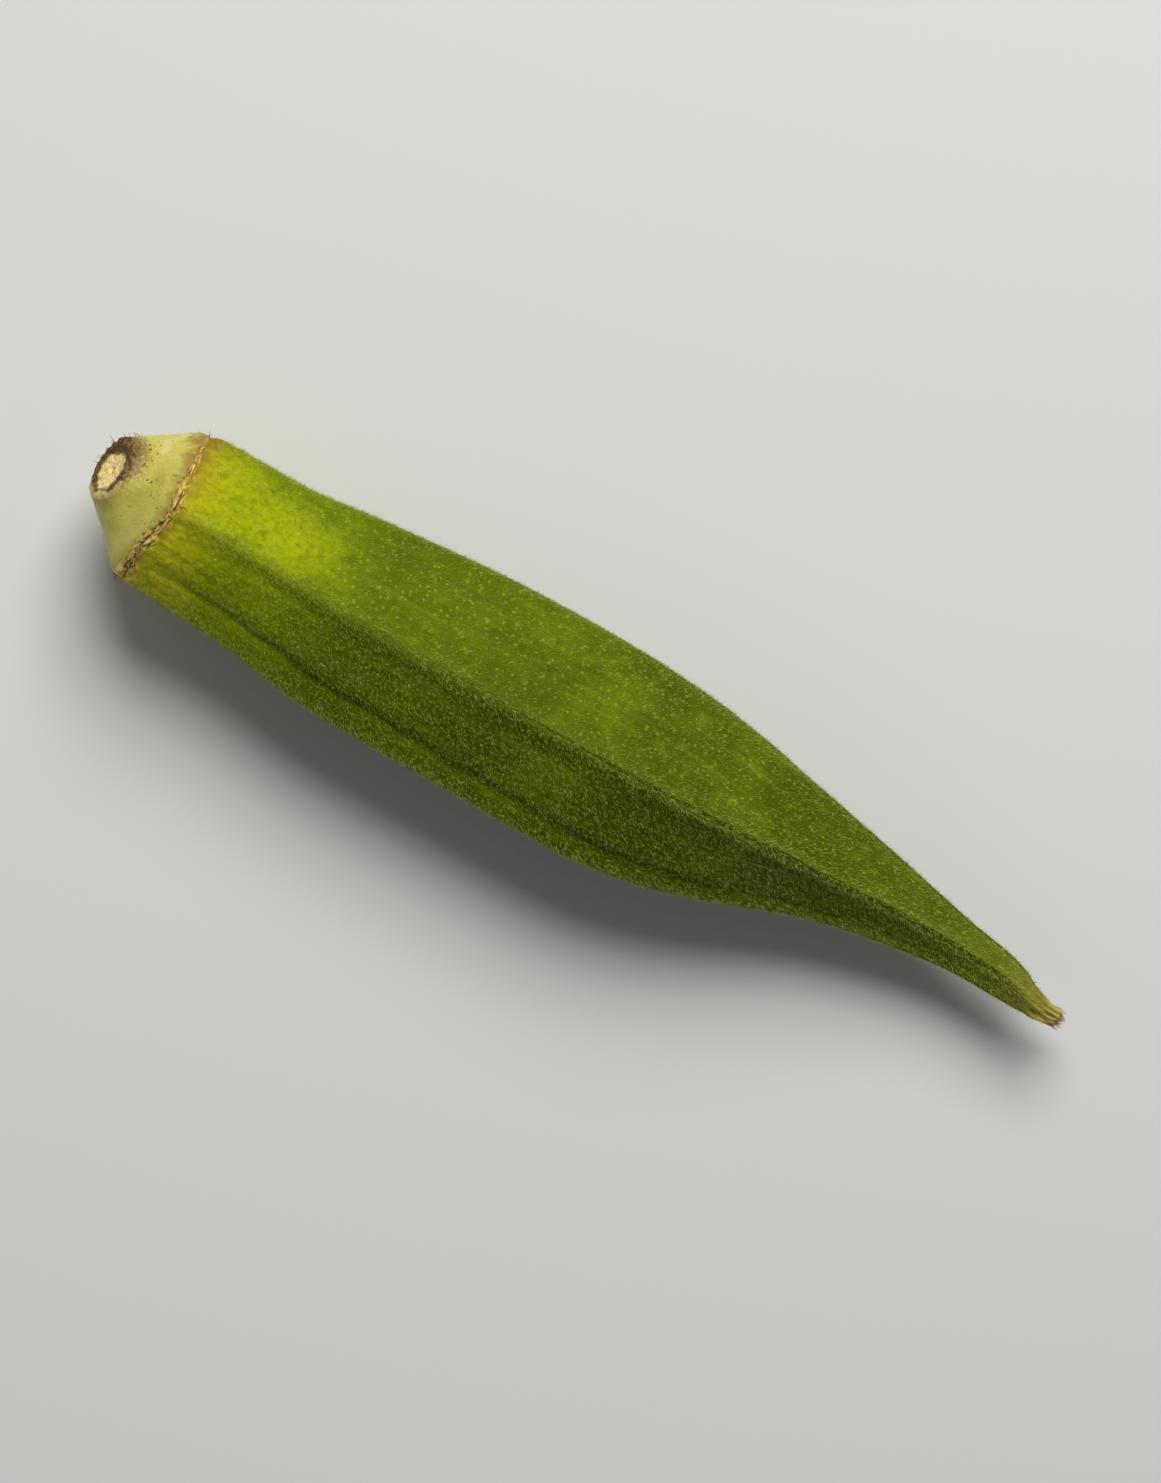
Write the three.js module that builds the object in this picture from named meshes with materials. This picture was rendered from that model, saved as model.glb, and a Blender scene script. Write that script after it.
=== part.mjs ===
// An okra pod as picked, lying on its side: a five-ribbed green fruit that narrows to a beak, with the pale
// cap at its stem end, the corky ring where the flower's leaves fell off, and the stem cut off on a slant.
// It grew as one piece, so it is one solid.
// Millimetres. +X runs from the stem to the beak, +Z is up, and the origin is under the middle of the pod,
// on the surface that it lies on.
import * as THREE from "three";

const { clamp, degToRad: radians, lerp, smoothstep } = THREE.MathUtils;

// Lengths along the pod. "Along" is counted from the ring, towards the beak.
const capLength = 5.85; // from the ring back to the middle of the stem's cut
const bodyLength = 92.8; // from the ring to the end of the beak
const ringPlace = [-42.77, -0.215]; // x and y of the middle of the ring

// The stem's cut
const stemRadius = 2.65;
const barkWidth = 0.6; // the hard bark round the cut
const stemOffset = 0.55; // how far the cut's middle stands to the +Y side of the ring's
const pithDepth = 0.2; // how far the soft middle has sunk
const cutSlant = radians(24); // how far the cut leans back from square
const slantStart = 1.0; // from the ring back to where the sections begin to lean

// The ribs
const ribs = 5;
const ribStep = (2 * Math.PI) / ribs;
const cornerRound = radians(8); // half the turn in which one face goes over into the next
const roundOverFace = 1.05; // radius of a round section over the reach of a five-sided one's faces
const ribHalfWidth = radians(7);
const topRibReach = radians(40); // how far round the top rib's own shift is felt

// The folds along the faces, as [degrees from the top rib at the ring, the same at the end of the folds'
// drift, half width in degrees, depth]
const folds = [
  [-10, -12, 6, 0.1], [-47, -61, 4.5, 0.32], [21, 30, 7, 0.08], [57, 51, 5, 0.14], [89, 95, 5, 0.26],
  [128, 120, 7, 0.16], [160, 166, 6, 0.2], [200, 195, 5, 0.24], [241, 232, 6, 0.24], [262, 270, 5, 0.14],
];
const foldDrift = 60; // along, where the folds have reached their second angle

// The dried end of the beak
const tipLength = 0.5;
const tipRadius = 0.6;

// The ring
const creaseDepth = 0.36; // of the crease between cap and pod
const creaseHalfWidth = 0.55;
const corkHeight = 0.3; // of the thread of cork that stands in the crease
const corkHalfWidth = 0.2;
const ringWave = 0.15; // how far the ring swings towards the beak at each rib
const ringLean = 0.8; // how far the ring's -Y side stands back towards the stem
const ringWaveReach = 2.5;

// How the pod lies
const widestPlace = 41; // along, where the pod is thickest
const flattening = 0.42; // how far its weight flattens the face that it lies on

// How finely the pod is divided
const columns = 80; // round the pod, 16 to a rib
const bodyStart = 1.4; // along, past the ring's crease
const bodyRows = 22;
const beakStart = 56; // along
const beakRows = 18;

// What changes along the pod, as [along, value] at a few places.
const faceRadius = [
  [-4.9, 3.5], [-3.4, 4.8], [-2.2, 5.7], [-1, 6.55], [0, 7.02], [9, 7.1], [18.5, 8], [27.5, 8.45],
  [37, 8.65], [45, 8.6], [51, 8.1], [57, 7.0], [64.5, 5.15], [71, 3.75], [77.5, 2.65], [82, 2.08],
  [87, 1.7], [89.2, 1.27], [90.8, 0.96], [92.2, 0.79],
]; // from the middle line to the middle of a face between two ribs
const ribHeight = [[-5, 0], [-0.6, 0.12], [8, 0.26], [40, 0.4], [62, 0.42], [86, 0.16], [92, 0]];
const foldShare = [[-0.5, 0], [5, 0.7], [18, 1], [50, 1], [66, 0.6], [80, 0.2], [90, 0]];
// how much of their depth the folds have
const faceHollow = [
  [-5, 0], [-3, 0.1], [0, -0.1], [10, -0.15], [30, -0.1], [50, 0], [62, 0.15], [72, 0.18], [86, 0.06],
  [92, 0],
]; // how far the middle of a face dips; it bulges where this is negative
const squareness = [[-5, 0.1], [-2, 0.5], [0, 0.72], [12, 0.9], [30, 1], [90, 1], [92.8, 0.4]];
// 0 where the section is round and 1 where it has five flat faces
const ribTurn = [
  [-5.6, 0], [0, 1.5], [20, 2.5], [48, 1.8], [60, 0], [72, -2], [92, -3],
]; // degrees that the ribs have turned about the middle line
const topRibShift = [
  [0, 1.5], [6, 1.5], [20, -2], [38, -4], [54, -4], [61, -6.8], [68, -7.6], [75, -4.5], [81, -0.6], [86, 0],
]; // degrees that the top rib stands off its place among the five
const sideways = [
  [0, -0.15], [18, -0.43], [36, 0.1], [46, 0.15], [53, 0.5], [60, 1.05], [66, 1.5], [72, 1.65], [77, 1.55],
  [82, 1.3], [85, 1.1], [87, 0.83], [89.2, 0.33], [91, 0.08], [92.8, 0.08],
]; // how far the middle line bends towards +Y
const lift = [
  [-5.6, 3], [0, 1.6], [9, 0.55], [18, 0.1], [28, -0.1], [46, 0], [58, -0.5], [70, -1.5], [80, -2.2],
  [92.8, -2],
]; // how far the middle line bends up

// The value at a place along the pod, on a smooth curve that never swings past the table's points.
function at(table, along) {
  let i = 1;
  while (i < table.length - 1 && along > table[i][0]) i += 1;
  const slope = (k) => (table[k][1] - table[k - 1][1]) / (table[k][0] - table[k - 1][0]);
  const here = slope(i);
  const before = i > 1 ? slope(i - 1) : here;
  const after = i < table.length - 1 ? slope(i + 1) : here;
  const meet = (a, b) => (a * b > 0 ? (2 * a * b) / (a + b) : 0);
  const [start, from] = table[i - 1];
  const [end, to] = table[i];
  const t = clamp((along - start) / (end - start), 0, 1);
  const leaving = meet(before, here) * (end - start) * (t ** 3 - 2 * t ** 2 + t);
  const arriving = meet(here, after) * (end - start) * (t ** 3 - t ** 2);
  return from + (to - from) * (3 * t ** 2 - 2 * t ** 3) + leaving + arriving;
}

// 1 at the middle of a feature, falling away smoothly on both sides.
const bell = (distance, halfWidth) => Math.exp(-((distance / halfWidth) ** 2));

// Angles are counted from the top, and grow towards +Y. The ribs and folds are counted from the top rib.
function fromTopRib(angle, along) {
  const shift = at(topRibShift, along) * bell(angle, topRibReach);
  return angle - radians(at(ribTurn, along) + shift);
}

// The angle to the nearest one of marks that stand a step apart.
const nearest = (angle, step) => Math.abs(angle - step * Math.round(angle / step));

// How far all the folds together draw the skin in.
function foldDepth(angle, along) {
  const turned = fromTopRib(angle, along);
  const drift = clamp(along / foldDrift, 0, 1);
  let total = 0;
  for (const [start, end, halfWidth, depth] of folds) {
    const away = nearest(turned - radians(lerp(start, end, drift)), 2 * Math.PI);
    total += depth * bell(away, radians(halfWidth));
  }
  return total * at(foldShare, along);
}

// From the middle line to the skin.
function skinRadius(angle, along) {
  const away = nearest(fromTopRib(angle, along), ribStep);
  const face = at(faceRadius, along);
  const round = face * roundOverFace;
  const square = face / Math.cos(ribStep / 2 - Math.hypot(away, cornerRound));
  const rib = at(ribHeight, along) * bell(away, ribHalfWidth);
  const hollow = at(faceHollow, along) * bell(ribStep / 2 - away, ribStep / 4);
  const cork = corkHeight * bell(along, corkHalfWidth);
  const crease = creaseDepth * bell(along, creaseHalfWidth);
  const plain = lerp(round, square, at(squareness, along));
  return plain + rib - foldDepth(angle, along) - hollow + cork - crease;
}

// Rows of points round the pod, from the middle of the stem's cut to the end of the beak. A row with a
// radius of its own is round, and the others follow the skin.
function podRows() {
  const cut = [
    { along: pithDepth, radius: 0 },
    { along: pithDepth * 0.9, radius: stemRadius * 0.45 },
    { along: pithDepth * 0.4, radius: stemRadius * 0.8 },
    { along: 0, radius: stemRadius },
    { along: 0.05, radius: stemRadius + barkWidth * 0.8 },
    { along: 0.3, radius: stemRadius + barkWidth },
  ].map((row) => ({ along: row.along - capLength, radius: row.radius }));
  const cap = [-4.9, -4.4, -3.7, -2.9, -2.0, -1.2];
  const crease = [-0.75, -0.45, -0.2, 0, 0.2, 0.45, 0.75];
  const spread = (from, to, count) => Array.from({ length: count }, (_, i) => lerp(from, to, i / count));
  const body = spread(bodyStart, beakStart, bodyRows);
  const beak = spread(beakStart, bodyLength - tipLength, beakRows);
  const skin = [...cap, ...crease, ...body, ...beak, bodyLength - tipLength].map((along) => ({ along }));
  const tip = [
    { along: bodyLength - tipLength * 0.4, radius: tipRadius },
    { along: bodyLength, radius: 0 },
  ];
  return [...cut, ...skin, ...tip];
}

// The height of the middle line where the pod is widest, with its lowest face pressed flat.
function lyingHeight() {
  const angles = Array.from({ length: columns }, (_, i) => (2 * Math.PI * i) / columns);
  return Math.max(...angles.map((angle) => -Math.cos(angle) * skinRadius(angle, widestPlace))) - flattening;
}

const ring = new THREE.Vector3(...ringPlace, lyingHeight());
const middle = (along) => new THREE.Vector3(along, at(sideways, along), at(lift, along)).add(ring);

// Bends a straight upright lathe of unit radius, with one row to each unit of height, into the pod.
function podGeometry() {
  const rows = podRows();
  const profile = rows.map((row, i) => new THREE.Vector2(row.radius === 0 ? 0 : 1, i));
  const geometry = new THREE.LatheGeometry(profile, columns);
  const place = geometry.getAttribute("position");
  for (let i = 0; i < place.count; i += 1) {
    const { along, radius } = rows[Math.round(place.getY(i))];
    const angle = Math.atan2(-place.getX(i), place.getZ(i));
    const forward = middle(along + 0.5).sub(middle(along - 0.5)).normalize();
    const side = new THREE.Vector3(0, 0, 1).cross(forward).normalize();
    const lean = cutSlant * smoothstep(-along, slantStart, capLength);
    const up = forward.clone().cross(side).applyAxisAngle(side, lean);
    const swing = ringWave * Math.cos(ribs * fromTopRib(angle, along));
    const wave = (swing - ringLean * Math.max(-Math.sin(angle), 0) ** 2) * bell(along, ringWaveReach);
    const reach = radius ?? skinRadius(angle, along);
    const point = middle(along)
      .addScaledVector(forward, wave)
      .addScaledVector(side, reach * Math.sin(angle) + stemOffset * smoothstep(-along, 0, capLength))
      .addScaledVector(up, reach * Math.cos(angle));
    place.setXYZ(i, point.x, point.y, Math.max(point.z, 0));
  }
  geometry.computeVertexNormals();
  return geometry;
}

const skin = new THREE.MeshStandardMaterial({ color: 0x6f8f1f, roughness: 0.6, metalness: 0 });
const pod = new THREE.Mesh(podGeometry(), skin);
pod.name = "okra_pod";

const okra = new THREE.Group();
okra.add(pod);
export default okra;
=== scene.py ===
import math

import bpy
import numpy as np
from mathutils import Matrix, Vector, noise


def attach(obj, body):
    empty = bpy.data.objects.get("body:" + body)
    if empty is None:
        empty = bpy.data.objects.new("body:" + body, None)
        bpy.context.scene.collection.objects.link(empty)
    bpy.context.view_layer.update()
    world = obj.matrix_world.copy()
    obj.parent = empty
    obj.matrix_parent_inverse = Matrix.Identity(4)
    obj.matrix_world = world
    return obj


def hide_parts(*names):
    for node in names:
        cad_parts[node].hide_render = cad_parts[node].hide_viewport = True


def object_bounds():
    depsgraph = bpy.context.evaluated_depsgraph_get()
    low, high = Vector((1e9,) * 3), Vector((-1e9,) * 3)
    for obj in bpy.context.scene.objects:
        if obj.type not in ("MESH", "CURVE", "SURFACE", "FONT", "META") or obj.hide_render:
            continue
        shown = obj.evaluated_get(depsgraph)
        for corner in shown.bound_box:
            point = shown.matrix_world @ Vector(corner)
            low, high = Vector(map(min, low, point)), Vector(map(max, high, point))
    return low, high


# A fresh okra pod on a pale table, seen from straight above.
# The dictionaries hold millimetres unless they say otherwise, and mm turns them to Blender's metres.
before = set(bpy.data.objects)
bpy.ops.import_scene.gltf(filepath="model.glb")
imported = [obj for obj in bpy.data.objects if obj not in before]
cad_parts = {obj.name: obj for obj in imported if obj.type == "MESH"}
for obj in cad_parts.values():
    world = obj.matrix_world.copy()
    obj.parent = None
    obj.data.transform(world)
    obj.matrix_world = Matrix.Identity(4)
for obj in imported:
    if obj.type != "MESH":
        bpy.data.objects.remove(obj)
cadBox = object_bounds()
mm = 0.001
print("frame loaded:", ", ".join(sorted(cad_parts)))


def deselectAll():
    if bpy.context.object is not None and bpy.context.object.mode != "OBJECT":
        bpy.ops.object.mode_set(mode="OBJECT")
    bpy.ops.object.select_all(action="DESELECT")


def linear(hexColour):  # sRGB hex to the linear colour that the shaders take
    channels = [int(hexColour[i:i + 2], 16) / 255 for i in (1, 3, 5)]
    return [c / 12.92 if c <= 0.04045 else ((c + 0.055) / 1.055) ** 2.4 for c in channels] + [1]


def addNode(tree, kind, inputs=None, **settings):  # one node, with its settings, values and links
    node = tree.nodes.new("ShaderNode" + kind)
    for name, value in settings.items():
        setattr(node, name, value)
    for name, value in (inputs or {}).items():
        socket = node.inputs[name]
        if isinstance(value, bpy.types.NodeSocket):
            tree.links.new(value, socket)
        else:
            socket.default_value = linear(value) if isinstance(value, str) else value
    return node


def newMaterial(name):
    material = bpy.data.materials.new(name)
    material.use_nodes = True
    material.node_tree.nodes.clear()
    return material, material.node_tree


# Lays coats of colour on a ground. A coat is the value that it follows, where that starts and where it is
# full, its strength, and its colour, or the name of the value that holds it.
def paintCoats(tree, ground, coats, values):
    for name, start, end, strength, colour in coats:
        reach = {"Value": values[name], "From Min": start, "From Max": end, "To Max": strength}
        share = addNode(tree, "MapRange", reach, interpolation_type="SMOOTHSTEP").outputs[0]
        coat = {0: share, 6: ground, 7: values.get(colour, colour)}
        ground = addNode(tree, "Mix", coat, data_type="RGBA").outputs[2]
    return ground


# The pod's form, the same as the solid's. "Along" is counted from the ring towards the beak, and angles from
# the top, growing towards +Y.
podShape = {
    "ribs": 5,
    "ring": (-42.77, -0.215),  # x and y of the middle of the ring
    "capLength": 5.85,  # from the ring back to the middle of the stem's cut
    "bodyLength": 92.8,  # from the ring to the end of the beak
    "stemRadius": 2.65,
    "barkWidth": 0.6,
    "stemOffset": 0.55,
    "pithDepth": 0.2,
    "cutSlant": 24,  # degrees
    "slantStart": 1.0,
    "cornerRound": 8,  # degrees
    "roundOverFace": 1.05,
    "ribHalfWidth": 7,  # degrees
    "topRibReach": 40,  # degrees
    # folds along the faces: degrees from the top rib at the ring and past the drift, half width, depth
    "folds": [
        (-10, -12, 6, 0.1), (-47, -61, 4.5, 0.32), (21, 30, 7, 0.08), (57, 51, 5, 0.14),
        (89, 95, 5, 0.26), (128, 120, 7, 0.16), (160, 166, 6, 0.2), (200, 195, 5, 0.24),
        (241, 232, 6, 0.24), (262, 270, 5, 0.14)],
    "foldDrift": 60,
    "creaseDepth": 0.36,
    "creaseHalfWidth": 0.55,
    "corkHeight": 0.3,
    "ringWave": 0.15,
    "ringLean": 0.8,
    "ringWaveReach": 2.5,
    "tipLength": 0.5,
    "widestPlace": 41,
    "flattening": 0.42,  # how far the pod's weight flattens the face that it lies on
    "lyingColumns": 80,  # columns of the solid, from which the pod's height is worked out
    # what changes along the pod, as (along, value)
    "faceRadius": [
        (-4.9, 3.5), (-3.4, 4.8), (-2.2, 5.7), (-1, 6.55), (0, 7.02), (9, 7.1), (18.5, 8),
        (27.5, 8.45), (37, 8.65), (45, 8.6), (51, 8.1), (57, 7.0), (64.5, 5.15), (71, 3.75),
        (77.5, 2.65), (82, 2.08), (87, 1.7), (89.2, 1.27), (90.8, 0.96), (92.2, 0.79)],
    "ribHeight": [(-5, 0), (-0.6, 0.12), (8, 0.26), (40, 0.4), (62, 0.42), (86, 0.16), (92, 0)],
    "foldShare": [(-0.5, 0), (5, 0.7), (18, 1), (50, 1), (66, 0.6), (80, 0.2), (90, 0)],
    "faceHollow": [
        (-5, 0), (-3, 0.1), (0, -0.1), (10, -0.15), (30, -0.1), (50, 0), (62, 0.15), (72, 0.18),
        (86, 0.06), (92, 0)],
    "squareness": [(-5, 0.1), (-2, 0.5), (0, 0.72), (12, 0.9), (30, 1), (90, 1), (92.8, 0.4)],
    "ribTurn": [(-5.6, 0), (0, 1.5), (20, 2.5), (48, 1.8), (60, 0), (72, -2), (92, -3)],
    "topRibShift": [
        (0, 1.5), (6, 1.5), (20, -2), (38, -4), (54, -4), (61, -6.8), (68, -7.6), (75, -4.5),
        (81, -0.6), (86, 0)],
    "sideways": [
        (0, -0.15), (18, -0.43), (36, 0.1), (46, 0.15), (53, 0.5), (60, 1.05), (66, 1.5), (72, 1.65),
        (77, 1.55), (82, 1.3), (85, 1.1), (87, 0.83), (89.2, 0.33), (91, 0.08), (92.8, 0.08)],
    "lift": [
        (-5.6, 3), (0, 1.6), (9, 0.55), (18, 0.1), (28, -0.1), (46, 0), (58, -0.5), (70, -1.5),
        (80, -2.2), (92.8, -2)],
}
ribStep = 2 * math.pi / podShape["ribs"]


def smoothCurve(table, along):  # the value at places along the pod, on a smooth curve through the table
    places, values = np.array(table, float).T
    widths = np.diff(places)
    slopes = np.diff(values) / widths
    before = np.concatenate([slopes[:1], slopes])
    after = np.concatenate([slopes, slopes[-1:]])
    agree = before * after > 0
    tangents = np.where(agree, 2 * before * after / np.where(agree, before + after, 1), 0)
    i = np.clip(np.searchsorted(places, along) - 1, 0, len(slopes) - 1)
    t = np.clip((along - places[i]) / widths[i], 0, 1)
    blended = values[i] + (values[i + 1] - values[i]) * (3 * t**2 - 2 * t**3)
    leaving = tangents[i] * widths[i] * (t**3 - 2 * t**2 + t)
    arriving = tangents[i + 1] * widths[i] * (t**3 - t**2)
    return blended + leaving + arriving


def at(tableName, along):
    return smoothCurve(podShape[tableName], along)


def bell(distance, halfWidth):
    return np.exp(-((distance / halfWidth) ** 2))


def smoothShare(t):  # 0 up to t = 0, 1 from t = 1, and smooth between
    t = np.clip(t, 0, 1)
    return t * t * (3 - 2 * t)


def fromTopRib(angle, along):  # the angle counted from the top rib, which wanders off its place
    shift = at("topRibShift", along) * bell(angle, math.radians(podShape["topRibReach"]))
    return angle - np.radians(at("ribTurn", along) + shift)


def nearest(angle, step):  # the angle to the nearest one of marks that stand a step apart
    return np.abs(angle - step * np.round(angle / step))


def foldDepth(angle, along):  # how far all the folds together draw the skin in
    turned = fromTopRib(angle, along)
    drift = np.clip(along / podShape["foldDrift"], 0, 1)
    total = 0
    for start, end, halfWidth, depth in podShape["folds"]:
        away = nearest(turned - np.radians(start + (end - start) * drift), 2 * math.pi)
        total = total + depth * bell(away, math.radians(halfWidth))
    return total * at("foldShare", along)


def plainRadius(angle, along):  # from the middle line to the skin, without its fine relief
    away = nearest(fromTopRib(angle, along), ribStep)
    face = at("faceRadius", along)
    reach = ribStep / 2 - np.hypot(away, math.radians(podShape["cornerRound"]))
    square = face / np.cos(reach)
    rib = at("ribHeight", along) * bell(away, math.radians(podShape["ribHalfWidth"]))
    hollow = at("faceHollow", along) * bell(ribStep / 2 - away, ribStep / 4)
    squareness = at("squareness", along)
    roundRadius = face * podShape["roundOverFace"]
    return roundRadius + (square - roundRadius) * squareness + rib - foldDepth(angle, along) - hollow


def lyingHeight():  # of the middle line where the pod is widest, lying on its flattened face
    angles = 2 * np.pi * np.arange(podShape["lyingColumns"]) / podShape["lyingColumns"]
    widest = np.full_like(angles, podShape["widestPlace"])
    return float(np.max(-np.cos(angles) * plainRadius(angles, widest))) - podShape["flattening"]


def middleLine(along):
    x, y = podShape["ring"]
    return np.stack([along + x, at("sideways", along) + y, at("lift", along) + lyingHeight()], -1)


def sectionFrame(along):  # the middle line's point, and the directions forward, sideways and up
    forward = middleLine(along + 0.5) - middleLine(along - 0.5)
    forward /= np.linalg.norm(forward, axis=-1, keepdims=True)
    side = np.cross([0, 0, 1], forward)
    side /= np.linalg.norm(side, axis=-1, keepdims=True)
    start = podShape["slantStart"]
    lean = smoothShare((-along - start) / (podShape["capLength"] - start))
    lean = (math.radians(podShape["cutSlant"]) * lean)[..., None]
    up = np.cross(forward, side) * np.cos(lean) + forward * np.sin(lean)
    return middleLine(along), forward, side, up


# The fine relief that the solid leaves out. Sizes are (across, along) the pod.
fineRelief = {
    "lumpHeight": 0.09,
    "lumpSize": (5, 9),
    "fibreHeight": 0.04,
    "fibreSize": (0.9, 13),
    "seedHeight": 0.05,
    "seedPitch": 5.2,
    "seedStagger": 2.4,  # radians by which each face's seeds are ahead of the last one's
    "seedShare": [(6, 0), (16, 1), (56, 1), (68, 0)],
    "sutureHalfWidth": 0.17,  # of the seam along each rib
    "sutureDepth": [(0, 0.02), (12, 0.03), (45, 0.06), (60, 0.1), (88, 0.08), (92, 0.02)],
    "ribWander": 0.8,  # degrees
    "ribWanderLength": 11,
    "foldWander": 3.2,  # degrees
    "foldWanderLength": 4.5,
    "wanderStart": 5,  # along, where ribs and folds wander in full
    "foldFull": 0.32,  # depth of the deepest fold
}

# The corky scar at the ring. Waves are how often noise swings on its way round the pod, and the values that
# end in Below say how much more there is of something on the -Y side than on top.
ringScar = {
    "wander": 0.3,
    "wanderWaves": (2.6, 11),
    "quickWander": 0.45,  # share of the quicker waves in the wander
    "corkWidth": 0.4,
    "widerBelow": 1.1,
    "widthWaves": 4,
    "widthSwing": 1.4,
    "leastWidth": 0.1,
    "corkShare": 0.55,
    "corkBelow": 0.5,
    "mostCork": 1.2,
    # layers of noise: strength, waves round the pod, waves along it, and which noise
    "threads": [(1.3, 7, 4, 0), (1.2, 19, 5, 6)],
    "crumbs": [(2.4, 10, 2.4, 2), (1, 30, 6, 8)],
    "soundShare": 0.15,  # how much has to crumble before it shows
    "crumbledBelow": 0.35,
    "crumbleReach": 0.8,
    "crumbleFurther": 0.45,
    "crumbleDepth": 0.1,
    "puckerHeight": 0.05,
    "puckerReach": 2.5,
    "puckerWaves": 9,
    "puckerLength": 3,
}

# The stem's cut: sunken pith in a rim of bark that is thick on one side.
stemCut = {
    "pithCurve": 2.5,  # how late the pith drops towards its middle
    "rimRound": 0.3,  # radius along the stem of the bark's outer edge
    "edgeInset": 0.25,
    "edgeShift": (0.3, 0.25),
    "edgeWaves": 3,
    "edgeWander": 0.3,
    "thickAt": 1.7,  # radians
    "thickReach": 0.9,
    "thicker": 0.65,
    "pithGrain": (0.4, 0.15),
    "fineGrain": 0.5,  # share of the finer grain
    "pithBump": 0.12,
    "pithHole": 0.25,
    "pithHoleRadius": 0.25,
    "barkRough": 0.14,
    "barkWaves": (3, 9),
    "fineBark": 0.6,  # share of the quicker waves
    "roughFrom": 0.6,  # share of the radius from which the bark's roughness moves the edge
}

# The dried end of the beak
driedEnd = {
    "start": 89.5,
    "fade": 2,
    "wrinkle": 0.42,
    "wrinkleWaves": 2.6,
    "wrinkleLength": 1.5,
    "swelling": 0.1,
    "endWaves": 2,
    "endSwing": 0.35,
}


def smoothNoise(x, y, z, shift=0):  # Perlin noise at each point, from -1 to 1; each shift gives another one
    points = np.stack(np.broadcast_arrays(x, y, z), -1).reshape(-1, 3) + shift
    return np.array([noise.noise(Vector(p)) for p in points]).reshape(np.shape(x))


def noiseRound(angle, waves, depth, shift=0):  # noise round the pod, the same again after a full turn
    return smoothNoise(waves * np.cos(angle), waves * np.sin(angle), depth, shift)


def noiseOver(angle, radius, along, size, shift=0):  # noise of a real size across and along
    across, length = size
    x, y = np.cos(angle), np.sin(angle)
    return smoothNoise(x * radius / across, y * radius / across, along / length, shift)


def addLayers(total, angle, away, layers):
    for strength, waves, wavesAlong, shift in layers:
        total = total + strength * noiseRound(angle, waves, wavesAlong * away, shift)
    return total


def ringMarks(angle, along):  # how far each point is from the wandering scar, and its cork and crumbling
    y = np.sin(angle)
    slow, quick = ringScar["wanderWaves"]
    wander = noiseRound(angle, slow, 0.5) + ringScar["quickWander"] * noiseRound(angle, quick, 4)
    away = along - ringScar["wander"] * wander
    swing = ringScar["widthSwing"] * noiseRound(angle, ringScar["widthWaves"], 9)
    width = ringScar["corkWidth"] * (1 - ringScar["widerBelow"] * y + swing)
    threads = ringScar["corkShare"] - ringScar["corkBelow"] * y
    threads = addLayers(threads, angle, away, ringScar["threads"])
    cork = bell(away, np.maximum(width, ringScar["leastWidth"])) * np.clip(threads, 0, ringScar["mostCork"])
    crumbs = addLayers(0, angle, away, ringScar["crumbs"])
    crumbs = np.clip(crumbs - ringScar["soundShare"] - ringScar["crumbledBelow"] * y, 0, 1)
    crumbs = crumbs * bell(away, ringScar["crumbleReach"] * (1 - ringScar["crumbleFurther"] * y))
    return away, cork, crumbs


def ringRelief(angle, turned, along):  # height in mm of the scar and the puckers beside it
    away, cork, crumbs = ringMarks(angle, along)
    ring = podShape["corkHeight"] * cork - podShape["creaseDepth"] * bell(away, podShape["creaseHalfWidth"])
    ring = ring - ringScar["crumbleDepth"] * crumbs
    pucker = noiseRound(turned, ringScar["puckerWaves"], along / ringScar["puckerLength"], 11)
    return ring, ringScar["puckerHeight"] * pucker * bell(along, ringScar["puckerReach"])


def skinRelief(angle, along, radius):  # height in mm over the plain radius
    turned = fromTopRib(angle, along)
    lumps = fineRelief["lumpHeight"] * noiseOver(turned, radius, along, fineRelief["lumpSize"])
    fibres = fineRelief["fibreHeight"] * noiseOver(turned, radius, along, fineRelief["fibreSize"], 5)
    face = np.round(turned / ribStep - 0.5)
    beads = np.cos(2 * np.pi * along / fineRelief["seedPitch"] + fineRelief["seedStagger"] * face)
    offFace = nearest(turned - ribStep / 2, ribStep)
    seeds = fineRelief["seedHeight"] * beads * bell(offFace, ribStep / 5)
    seeds = seeds * smoothCurve(fineRelief["seedShare"], along)
    crest = nearest(turned, ribStep) * radius
    suture = smoothCurve(fineRelief["sutureDepth"], along) * bell(crest, fineRelief["sutureHalfWidth"])
    ring, pucker = ringRelief(angle, turned, along)
    dried = np.clip((along - driedEnd["start"]) / driedEnd["fade"], 0, 1)
    wrinkle = noiseRound(turned, driedEnd["wrinkleWaves"], along / driedEnd["wrinkleLength"], 3)
    wrinkle = (driedEnd["wrinkle"] * wrinkle + driedEnd["swelling"]) * dried
    return lumps + (fibres + seeds) * (1 - dried) - suture + ring + pucker + wrinkle


skinGrid = {
    "columns": 400,
    # spacing of the rows at places along the pod
    "spacing": [
        (-4.9, 0.16), (-1.3, 0.1), (-0.8, 0.05), (0.8, 0.05), (2, 0.2), (5, 0.66), (60, 0.8), (86, 0.64),
        (92.2, 0.15)],
    "pithRows": 18,
    "barkRows": 8,
    "tipRows": 8,
    "cutEdge": -5.5,  # along, where the cap's paint goes over into the cut's
}


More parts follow.
